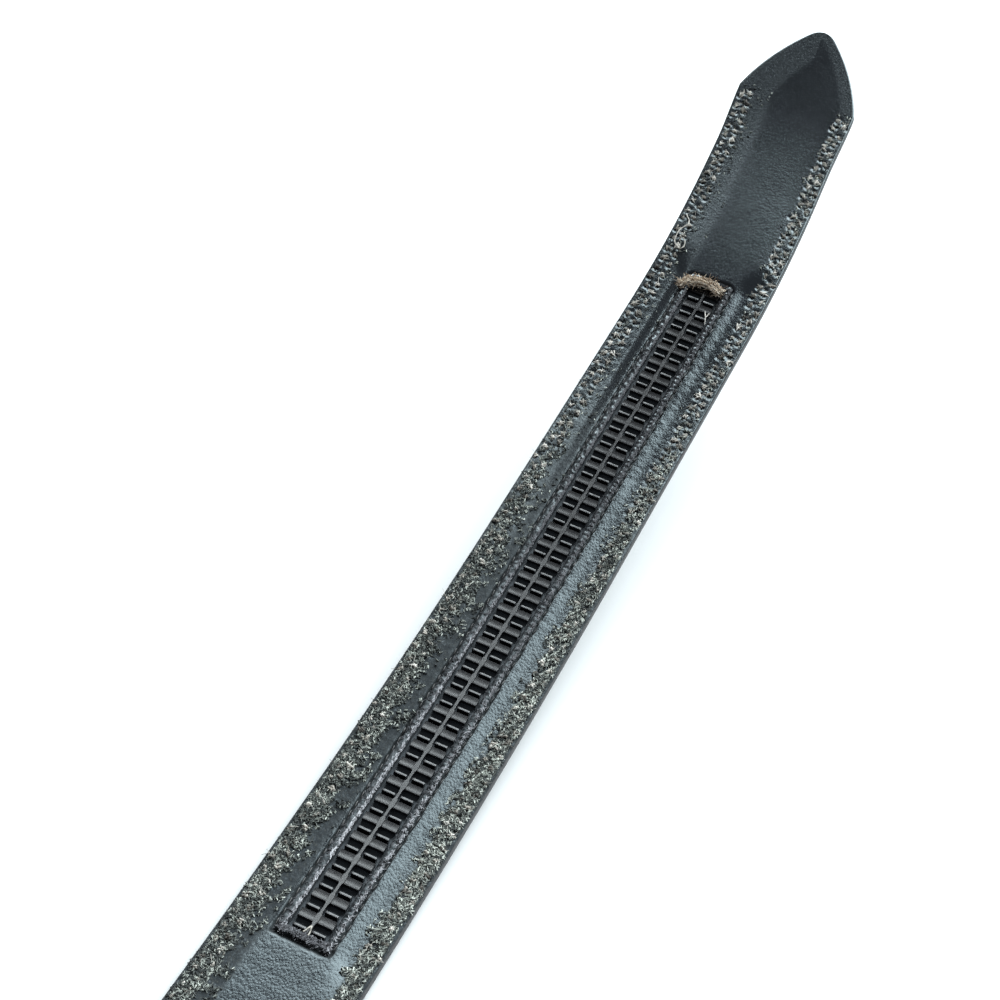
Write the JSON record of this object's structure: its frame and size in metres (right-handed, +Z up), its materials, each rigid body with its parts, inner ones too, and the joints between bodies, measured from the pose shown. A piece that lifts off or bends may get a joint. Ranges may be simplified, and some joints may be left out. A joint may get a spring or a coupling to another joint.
{
  "type": "ratchet belt",
  "caption": "Leather belt lying back side up, with a pointed tail, a toothed plastic track behind a window in its lining, and a plain ratchet buckle.",
  "frame": {"origin": "on the surface that the belt rests on, under the middle of its bounding box", "axes": "+X along the strap from the buckle to the tip, +Y across the strap, +Z up out of its back"},
  "size_m": [1.1674, 0.0422, 0.0709],
  "materials": {
    "outer_leather": "black smooth leather with painted edges",
    "lining_leather": "black pebbled leather, grey and napped where it is cut round the window",
    "track_plastic": "black moulded plastic, half gloss",
    "buckle_metal": "brushed zinc alloy"
  },
  "bodies": {
    "root": {"front_leather": "outer_leather", "back_lining": "lining_leather", "ratchet_track": "track_plastic", "buckle": "buckle_metal"}
  },
  "joints": []
}
